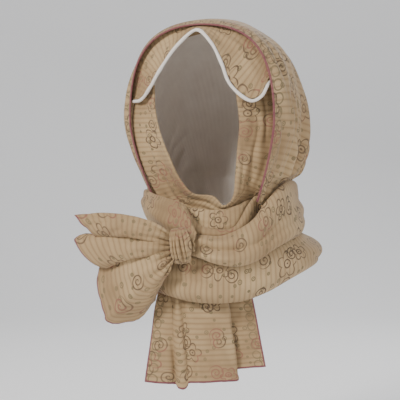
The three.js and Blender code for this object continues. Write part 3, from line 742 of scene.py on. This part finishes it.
class Field:
    """A number worked out by shader nodes, so that a pattern can be written as a formula."""

    def __init__(self, tree, socket):
        self.tree = tree
        self.socket = socket

    def apply(self, operation, *others):
        made = self.tree.nodes.new("ShaderNodeMath")
        made.operation = operation
        for place, value in enumerate((self, *others)):
            if isinstance(value, Field):
                self.tree.links.new(value.socket, made.inputs[place])
            else:
                made.inputs[place].default_value = value
        return Field(self.tree, made.outputs[0])

    def __add__(self, other):
        return self.apply("ADD", other)

    def __sub__(self, other):
        return self.apply("SUBTRACT", other)

    def __mul__(self, other):
        return self.apply("MULTIPLY", other)

    def __truediv__(self, other):
        return self.apply("DIVIDE", other)

    def abs(self):
        return self.apply("ABSOLUTE")

    def sine(self):
        return self.apply("SINE")

    def fraction(self):
        return self.apply("FRACT")

    def below(self, edge, softness):
        """One where this is under the edge, fading to none over the softness."""
        made = self.tree.nodes.new("ShaderNodeMapRange")
        made.interpolation_type = "SMOOTHSTEP"
        self.tree.links.new(self.socket, made.inputs["Value"])
        ends = {"From Min": edge, "From Max": edge + softness, "To Min": 1, "To Max": 0}
        for name, value in ends.items():
            made.inputs[name].default_value = value
        return Field(self.tree, made.outputs["Result"])

    def either(self, other):
        return self.apply("MAXIMUM", other)


def node(tree, kind, **links):
    """A new node with the named inputs linked or set."""
    made = tree.nodes.new(kind)
    for name, value in links.items():
        socket = made.inputs[name.replace("_", " ")]
        if isinstance(value, Field):
            tree.links.new(value.socket, socket)
        elif isinstance(value, bpy.types.NodeSocket):
            tree.links.new(value, socket)
        else:
            socket.default_value = value
    return made


def new_material(name, **values):
    """A material with the named sockets of its shader set."""
    material = bpy.data.materials.new(name)
    material.use_nodes = True
    shader = material.node_tree.nodes["Principled BSDF"]
    for socket, value in values.items():
        shader.inputs[socket.replace("_", " ")].default_value = value
    return material


def cloth_places(tree):
    """The places s and t on the cloth, in metres, from the UV map named cloth."""
    places = tree.nodes.new("ShaderNodeUVMap")
    places.uv_map = "cloth"
    split = node(tree, "ShaderNodeSeparateXYZ", Vector=places.outputs["UV"])
    return Field(tree, split.outputs["X"]), Field(tree, split.outputs["Y"])


def clouds(tree, s, t, scale, detail):
    """Soft clouds over the cloth, from 0 to 1."""
    places = node(tree, "ShaderNodeCombineXYZ", X=s, Y=t)
    noise = node(tree, "ShaderNodeTexNoise", Vector=places.outputs["Vector"], Scale=scale, Detail=detail)
    return Field(tree, noise.outputs["Fac"])


def scattered(tree, s, t, spacing, jitter, shift):
    """Local places round the nearest of many scattered centres, and two random numbers for each."""
    cells = node(tree, "ShaderNodeCombineXYZ", X=s / spacing + shift, Y=t / spacing + 1.7 * shift)
    voronoi = tree.nodes.new("ShaderNodeTexVoronoi")
    voronoi.voronoi_dimensions = "2D"
    voronoi.feature = "F1"
    voronoi.inputs["Scale"].default_value = 1
    voronoi.inputs["Randomness"].default_value = jitter
    tree.links.new(cells.outputs["Vector"], voronoi.inputs["Vector"])
    offset = tree.nodes.new("ShaderNodeVectorMath")
    offset.operation = "SUBTRACT"
    tree.links.new(cells.outputs["Vector"], offset.inputs[0])
    tree.links.new(voronoi.outputs["Position"], offset.inputs[1])
    local = node(tree, "ShaderNodeSeparateXYZ", Vector=offset.outputs["Vector"])
    chance = node(tree, "ShaderNodeSeparateColor", Color=voronoi.outputs["Color"])
    x = Field(tree, local.outputs["X"]) * spacing
    y = Field(tree, local.outputs["Y"]) * spacing
    radius = (x * x + y * y).apply("SQRT")
    angle = y.apply("ARCTAN2", x) + Field(tree, chance.outputs["Red"]) * (2 * math.pi)
    return radius, angle, Field(tree, chance.outputs["Green"]), Field(tree, chance.outputs["Blue"])


def stroke(distance, width):
    """A drawn line where a distance is near nought."""
    return distance.abs().below(width / 2, width / 2)


def flowers(tree, s, t):
    """Outline flowers: a scalloped rim, an inner ring and a small eye."""
    radius, angle, chance, size = scattered(tree, s, t, *FLOWER_SCATTER)
    reach = size * (FLOWER_RADIUS * 0.5) + FLOWER_RADIUS * 0.75
    scallop = (angle * 2.5).sine().abs()
    rim = stroke(radius - reach * (scallop * 0.42 + 0.58), PRINT_LINE)
    ring = stroke(radius - reach * 0.3, PRINT_LINE)
    eye = radius.below(PRINT_LINE * 0.8, PRINT_LINE * 0.5)
    return rim.either(ring).either(eye) * chance.below(FLOWER_SHARE, SHARP)


def curls(tree, s, t):
    """Spiral curls of two turns."""
    radius, angle, chance, _ = scattered(tree, s, t, *CURL_SCATTER)
    turns = radius / CURL_PITCH - angle / (2 * math.pi)
    arm = stroke((turns.fraction() - 0.5) * CURL_PITCH, PRINT_LINE * 0.9)
    return arm * radius.below(CURL_PITCH * CURL_TURNS, SHARP / 2) * chance.below(CURL_SHARE, SHARP)


def sprigs(tree, s, t):
    """Small rings and dots between the larger motifs."""
    radius, _, chance, size = scattered(tree, s, t, *SPRIG_SCATTER)
    ring = stroke(radius - size * (SPRIG_RADIUS * 0.6) - SPRIG_RADIUS * 0.5, PRINT_LINE * 0.8)
    dot = radius.below(PRINT_LINE * 0.5, PRINT_LINE * 0.4)
    return ring.either(dot) * chance.below(SPRIG_SHARE, SHARP)


def border(tree, s):
    """A chain of loops along the long edges of the scarf, which the UV map named width measures."""
    places = tree.nodes.new("ShaderNodeUVMap")
    places.uv_map = "width"
    split = node(tree, "ShaderNodeSeparateXYZ", Vector=places.outputs["UV"])
    inward = Field(tree, split.outputs["Y"])
    step = (s / LOOP_PITCH).fraction() - 0.5
    along = step * LOOP_PITCH
    rise = inward - LOOP_INSET
    radius = (along * along * 0.8 + rise * rise).apply("SQRT")
    return stroke(radius - LOOP_RADIUS, PRINT_LINE * 0.9)


def printed_knit():
    """Beige rib knit with a thin outline print, and a plum hem thread along its cut edges."""
    material = new_material(
        "printed_knit",
        Roughness=0.82,
        Sheen_Weight=0.12,
        Sheen_Roughness=0.45,
        Specular_IOR_Level=0.25,
    )
    tree = material.node_tree
    shader = tree.nodes["Principled BSDF"]
    s, t = cloth_places(tree)
    drift = clouds(tree, s, t, 14.0, 3.0)
    wobble = (drift - 0.5) * PRINT_WOBBLE
    rib = ((s + wobble * 0.1) * (math.pi / RIB_PITCH)).sine().abs().apply("POWER", RIB_ROUND)
    fine = (s * (2 * math.pi / STITCH_PITCH)).sine() * (t * (2 * math.pi / WALE_PITCH)).sine()
    bloom = flowers(tree, s + wobble, t + wobble).either(curls(tree, s + wobble, t - wobble))
    small = sprigs(tree, s, t).either(border(tree, s))
    accent = drift.below(0.43, 0.04)

    # The ground is lighter and darker at random, which is the knit's own tone, and darker in the hollows
    # between the ribs, which is painted shade.
    ground = mixed(tree, KNIT_DARK, KNIT_LIGHT, drift * 1.2 + rib * (drift * 1.6 + 0.05) - 0.85)
    ink = mixed(tree, INK_BROWN, INK_PLUM, accent)
    with_small = mixed(tree, ground, INK_OLIVE, small * (drift * 1.2 + 0.1))
    with_bloom = mixed(tree, with_small, ink, bloom * (drift * 1.4 + 0.05))
    hem = tree.nodes.new("ShaderNodeAttribute")
    hem.attribute_name = "hem"
    to_edge = Field(tree, hem.outputs["Fac"])
    hemmed = mixed(tree, with_bloom, HEM_THREAD, to_edge.below(HEM_LINE, HEM_LINE * 0.6) * 0.85)
    tree.links.new(hemmed, shader.inputs["Base Color"])

    height = rib * 0.6 + fine * 0.3 + drift * 0.2
    bump = node(tree, "ShaderNodeBump", Height=height, Strength=0.55, Distance=BUMP_HEIGHT)
    tree.links.new(bump.outputs["Normal"], shader.inputs["Normal"])
    return material


def mixed(tree, first, second, share):
    """A colour between two others, each a colour or an output."""
    blend = tree.nodes.new("ShaderNodeMix")
    blend.data_type = "RGBA"
    blend.clamp_factor = True
    tree.links.new(share.socket, blend.inputs["Factor"])
    for name, value in (("A", first), ("B", second)):
        socket = next(i for i in blend.inputs if i.name == name and i.type == "RGBA")
        if isinstance(value, bpy.types.NodeSocket):
            tree.links.new(value, socket)
        else:
            socket.default_value = value
    return next(o for o in blend.outputs if o.type == "RGBA")


def pale_film():
    """The smooth pale film on the cloth's inner side."""
    material = new_material("pale_film", Roughness=0.42, Sheen_Weight=0.15)
    tree = material.node_tree
    shader = tree.nodes["Principled BSDF"]
    s, t = cloth_places(tree)
    drift = clouds(tree, s, t, 60.0, 4.0)
    tree.links.new(mixed(tree, FILM_DARK, FILM_LIGHT, drift), shader.inputs["Base Color"])
    rib = (s * (2 * math.pi / RIB_PITCH)).sine()
    bump = node(tree, "ShaderNodeBump", Height=rib * 0.3 + drift, Strength=0.4, Distance=BUMP_HEIGHT)
    tree.links.new(bump.outputs["Normal"], shader.inputs["Normal"])
    return material


# Building the pieces


def normals_of(points, ring):
    if ring:
        along = np.roll(points, -1, axis=0) - np.roll(points, 1, axis=0)
    else:
        along = np.gradient(points, axis=0)
    return unit(np.cross(along, np.gradient(points, axis=1)))


def cloth_lengths(points, ring):
    """How far along and across the cloth each grid place lies, one column more than a ring's points."""
    closed = np.concatenate([points, points[:1]]) if ring else points
    steps_along = np.linalg.norm(np.diff(closed, axis=0), axis=2).mean(axis=1)
    steps_across = np.linalg.norm(np.diff(points, axis=1), axis=2).mean(axis=0)
    s = np.concatenate([[0], np.cumsum(steps_along)])
    t = np.concatenate([[0], np.cumsum(steps_across)])
    return np.meshgrid(s, t, indexing="ij")


def grid_of(base, columns, rows_across, ring):
    count = columns if ring else columns + 1
    u, v = np.meshgrid(np.arange(count) / columns, np.linspace(0, 1, rows_across + 1), indexing="ij")
    return u, v, base(u, v)


def far_from(s, t, sides):
    """The distance to the nearest of the named sides, far where there is none."""
    distances = {"start": s - s[0], "end": s[-1] - s, "low": t - t[:, :1], "high": t[:, -1:] - t}
    nearest = np.full_like(s, FAR)
    for side in sides:
        nearest = np.minimum(nearest, distances[side])
    return nearest


def sheet_corners(columns, rows_across, ring, outward):
    """The column, row and skin of each corner of a closed sheet's faces, outer skin first, then inner."""
    column, row = np.meshgrid(np.arange(columns), np.arange(rows_across), indexing="ij")
    column, row = column.ravel(), row.ravel()
    rim_column, rim_row = np.arange(columns), np.arange(rows_across)
    low, high = np.zeros_like(rim_column), np.full_like(rim_column, rows_across)
    first, last = np.zeros_like(rim_row), np.full_like(rim_row, columns)
    groups = [
        [(column, row, 0), (column + 1, row, 0), (column + 1, row + 1, 0), (column, row + 1, 0)],
        [(column, row, 1), (column, row + 1, 1), (column + 1, row + 1, 1), (column + 1, row, 1)],
        [(rim_column + 1, low, 0), (rim_column, low, 0), (rim_column, low, 1), (rim_column + 1, low, 1)],
        [(rim_column, high, 0), (rim_column + 1, high, 0), (rim_column + 1, high, 1), (rim_column, high, 1)],
    ]
    if not ring:
        groups += [
            [(first, rim_row, 0), (first, rim_row + 1, 0), (first, rim_row + 1, 1), (first, rim_row, 1)],
            [(last, rim_row + 1, 0), (last, rim_row, 0), (last, rim_row, 1), (last, rim_row + 1, 1)],
        ]
    if outward < 0:
        groups = [group[::-1] for group in groups]
    columns_of = np.concatenate([np.stack([corner[0] for corner in group], axis=1) for group in groups])
    rows_of = np.concatenate([np.stack([corner[1] for corner in group], axis=1) for group in groups])
    skins_of = np.concatenate(
        [np.full((len(group[0][0]), 4), [corner[2] for corner in group]) for group in groups]
    )
    return columns_of, rows_of, skins_of


def add_piece(name, mesh):
    mesh.shade_smooth()
    mesh.update()
    piece = bpy.data.objects.new(name, mesh)
    bpy.context.collection.objects.link(piece)
    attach(piece, "root")
    return piece


def make_cloth(name, base, relief, outward=1, ring=False, hems=(), turned=(), shift=(0, 0), lined=False):
    """A closed sheet: an outer and an inner skin, joined round the rims.

    The inner skin is film where the piece is lined, apart from a facing of knit along its hems and feet.

    hems are the cut edges and turned the edges where the cloth is folded under: start and end along
    the cloth, low and high across it. shift moves the print along and across, in millimetres.
    """
    _, _, rough = grid_of(base, ROUGH_COLUMNS, ROUGH_ROWS, ring)
    s, t = cloth_lengths(rough, ring)
    columns = max(FEWEST_COLUMNS, round(s[-1, 0] / CELL))
    rows_across = max(FEWEST_ROWS, round(t[0, -1] / CELL))
    u, v, points = grid_of(base, columns, rows_across, ring)
    s, t = cloth_lengths(points, ring)
    count = len(points)
    here_s, here_t = s[:count], t[:count]

    fold_share = np.clip(far_from(here_s, here_t, turned) / TURN_WIDTH, 0, 1)
    sink = TURN_DEPTH * (1 - np.sqrt(1 - (1 - fold_share) ** 2))
    height = relief(u, v, here_s, here_t) - sink
    points = points + outward * height[..., None] * normals_of(points, ring)
    normals = outward * normals_of(points, ring)
    to_hem = far_from(here_s, here_t, hems)
    half = WALL / 2 + HEM_EXTRA * (1 - smooth(to_hem, HEM_WIDTH - 1, HEM_WIDTH))
    half = half - HEM_THINNING * (1 - smooth(to_hem, 0, HEM_ROUNDING))
    outer = points + half[..., None] * normals
    inner = points - half[..., None] * normals
    verts = np.concatenate([outer.reshape(-1, 3), inner.reshape(-1, 3)]) * MM
    columns_of, rows_of, skins_of = sheet_corners(columns, rows_across, ring, outward)
    faces = (skins_of * count + columns_of % count) * (rows_across + 1) + rows_of
    mesh = bpy.data.meshes.new(name)
    mesh.from_pydata(verts.tolist(), [], faces.tolist())

    places = np.stack([s[columns_of, rows_of] + shift[0], t[columns_of, rows_of] + shift[1]], axis=-1)
    inward = far_from(s, t, [side for side in hems if side in LONG_SIDES])[columns_of, rows_of]
    for map_name, uv in (("cloth", places), ("width", np.stack([places[..., 0], inward], axis=-1))):
        layer = mesh.uv_layers.new(name=map_name)
        layer.data.foreach_set("uv", (uv * MM).astype(np.float32).ravel())
    hem = mesh.attributes.new("hem", "FLOAT", "POINT")
    hem.data.foreach_set("value", np.tile((to_hem * MM).ravel(), 2).astype(np.float32))
    mesh.materials.append(KNIT)
    mesh.materials.append(FILM)
    if lined:
        is_film = (to_hem > FACING_WIDTH) & (far_from(here_s, here_t, ("start", "end")) > FOOT_FACING)
        is_inner = skins_of.all(axis=1)
        start_column, start_row = columns_of.min(axis=1), rows_of.min(axis=1)
        shows_film = is_inner & is_film[start_column % count, start_row]
        mesh.polygons.foreach_set("material_index", shows_film.astype(np.int32))
    return add_piece(name, mesh)


def make_brow_hem():
    """A soft roll of the pale film side along the brow cloth's free edge."""
    share = np.arange(ROLL_COLUMNS + 1) / ROLL_COLUMNS
    ones = np.ones_like(share)
    edge = brow_point(share, ones)
    forward = unit(np.gradient(edge, axis=0))
    outwards = unit(np.cross(forward, edge - head_point(0 * ones, 0 * ones, HEAD_MIDDLE * ones)))
    sideways = np.cross(forward, outwards)
    ripple = sum(size * np.sin(share * length + start) for size, length, start in ROLL_RIPPLES)
    radius = HEM_ROLL / 2 * (1 + ripple)
    radius *= np.sqrt(np.clip(np.minimum(share, 1 - share) / ROLL_TAPER, ROLL_TIP, 1))
    centre = edge + outwards * (HEM_ROLL / 2 + HEM_GAP)
    rings = []
    for side in range(ROLL_SIDES):
        angle = 2 * math.pi * side / ROLL_SIDES
        rings.append(centre + radius[:, None] * (outwards * math.cos(angle) + sideways * math.sin(angle)))
    verts = np.stack(rings, axis=1).reshape(-1, 3) * MM
    faces = []
    for column in range(ROLL_COLUMNS):
        here, ahead = column * ROLL_SIDES, (column + 1) * ROLL_SIDES
        for side in range(ROLL_SIDES):
            after = (side + 1) % ROLL_SIDES
            faces.append((here + side, here + after, ahead + after, ahead + side))
    faces.append(tuple(range(ROLL_SIDES)))
    faces.append(tuple(ROLL_COLUMNS * ROLL_SIDES + side for side in reversed(range(ROLL_SIDES))))
    mesh = bpy.data.meshes.new("brow_hem_roll")
    mesh.from_pydata(verts.tolist(), [], faces)
    layer = mesh.uv_layers.new(name="cloth")
    along = np.concatenate([[0], np.cumsum(np.linalg.norm(np.diff(edge, axis=0), axis=1))]) * MM
    for polygon in mesh.polygons:
        for loop in polygon.loop_indices:
            column, side = divmod(mesh.loops[loop].vertex_index, ROLL_SIDES)
            layer.data[loop].uv = (along[column], side * HEM_ROLL * math.pi / ROLL_SIDES * MM)
    mesh.materials.append(FILM)
    piece = add_piece("brow_hem_roll", mesh)
    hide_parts("brow_hem")
    return piece


def dress_node(name, base, relief, flat, held, rests_on=(), with_pieces=(), **form):
    """A sheet of cloth in place of a named node, which is hidden. Its flat size in metres and how it is held
    are not used.
    """
    piece = make_cloth(name + "_cloth", base, relief, **form)
    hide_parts(name)


def dress():
    hem = make_brow_hem()
    dress_node("hood", hood_point, hood_relief, (0.3, 0.5), "draped", hems=("low",), lined=True)
    dress_node(
        "brow_fold", brow_point, brow_relief, (0.045, 0.27), "folded", ["hood"], [hem],
        outward=-1, shift=(60, 90),
    )
    dress_node(
        "face_band", face_point, face_relief, (0.05, 0.42), "folded", ["hood"],
        turned=("high",), shift=(30, 200),
    )
    dress_node(
        "inner_collar", band_points(INNER_COLLAR), collar_relief, (0.04, 0.18), "folded", ["face_band"],
        outward=-1, turned=("low",), shift=(300, 40),
    )
    dress_node(
        "cowl_fold",
        band_points(COWL_FOLD, longer=COWL_LONGER),
        band_relief(0.5, 1.0, 42, width=30, length=120, soft=1.5, lift=-0.6),
        (0.034, 0.15), "draped", ["inner_collar"],
        outward=-1, turned=LONG_SIDES, shift=(420, 110),
    )
    dress_node(
        "upper_wrap",
        band_points(UPPER_WRAP),
        band_relief(1.5, WRAP_FOLD, 43, fade=0.07, knot_at=0.1, knot_reach=0.06),
        (0.065, 0.59), "draped", ["lower_wrap"],
        outward=-1, turned=LONG_SIDES, shift=(700, 30),
    )
    dress_node(
        "lower_wrap",
        band_points(LOWER_WRAP, closed=True, seam=180),
        band_relief(1.5, WRAP_FOLD, 44, lift=0.4),
        (0.085, 0.73), "draped",
        outward=-1, ring=True, turned=LONG_SIDES, shift=(1300, 60),
    )
    dress_node(
        "cross_fold",
        band_points(CROSS_FOLD),
        band_relief(2, CROSS_RIB, 45, width=36, length=160, soft=1.8, knot_at=0.9, knot_reach=0.4),
        (0.045, 0.21), "draped", ["upper_wrap"],
        outward=-1, turned=("low", "high", "start"), shift=(520, 180),
    )
    dress_node(
        "knot", knot_point, knot_relief, (0.041, 0.058), "gathered", ["cross_fold"],
        turned=LONG_SIDES, shift=(50, 260),
    )
    dress_node(
        "side_tail", side_point, side_relief, (0.15, 0.125), "gathered", ["cross_fold"],
        hems=("end",), shift=(90, 20),
    )
    dress_node(
        "front_tail", front_point, front_relief, (0.18, 0.14), "hung", ["lower_wrap"],
        hems=("end", "low", "high"), shift=(210, 0),
    )


# Floor, light and camera


def make_stage():
    """A plain pale floor under the piece, curved up into a backdrop behind it."""
    profile = [(-FLOOR_DEPTH, 0.0), (0.0, 0.0)]
    for step in range(1, SWEEP_STEPS + 1):
        angle = math.pi / 2 * step / SWEEP_STEPS
        profile.append((SWEEP_RADIUS * math.sin(angle), SWEEP_RADIUS * (1 - math.cos(angle))))
    profile.append((SWEEP_RADIUS, BACKDROP_HEIGHT))
    verts = []
    for y, z in profile:
        verts.append((-STAGE_HALF_WIDTH, SWEEP_START + y, FLOOR_LEVEL + z))
        verts.append((STAGE_HALF_WIDTH, SWEEP_START + y, FLOOR_LEVEL + z))
    faces = [(2 * n, 2 * n + 1, 2 * n + 3, 2 * n + 2) for n in range(len(profile) - 1)]
    mesh = bpy.data.meshes.new("backdrop")
    mesh.from_pydata(verts, [], faces)
    mesh.materials.append(new_material("backdrop", Base_Color=BACKDROP_SHADE, Roughness=BACKDROP_ROUGHNESS))
    mesh.shade_smooth()
    backdrop = bpy.data.objects.new("backdrop", mesh)
    bpy.context.collection.objects.link(backdrop)


def aim(thing, place, target):
    thing.location = place
    thing.rotation_euler = (Vector(target) - Vector(place)).to_track_quat("-Z", "Y").to_euler()


def make_light(name, place, size, watts, tint):
    lamp = bpy.data.lights.new(name, "AREA")
    lamp.size = size
    lamp.energy = watts
    lamp.color = tint
    light = bpy.data.objects.new(name, lamp)
    bpy.context.collection.objects.link(light)
    aim(light, place, LOOK_AT)


def make_camera():
    data = bpy.data.cameras.new("camera")
    data.lens = LENS
    camera = bpy.data.objects.new("camera", data)
    bpy.context.collection.objects.link(camera)
    back = Vector(
        (
            math.sin(CAMERA_TURN) * math.cos(CAMERA_RISE),
            -math.cos(CAMERA_TURN) * math.cos(CAMERA_RISE),
            math.sin(CAMERA_RISE),
        )
    )
    aim(camera, Vector(LOOK_AT) + CAMERA_DISTANCE * back, LOOK_AT)
    bpy.context.scene.camera = camera


def make_world():
    world = bpy.data.worlds.new("studio")
    world.use_nodes = True
    background = world.node_tree.nodes["Background"]
    background.inputs["Color"].default_value = WORLD_TINT
    background.inputs["Strength"].default_value = WORLD_STRENGTH
    bpy.context.scene.world = world


KNIT = printed_knit()
FILM = pale_film()
dress()
make_stage()
make_world()
for light in LIGHTS:
    make_light(*light)
make_camera()
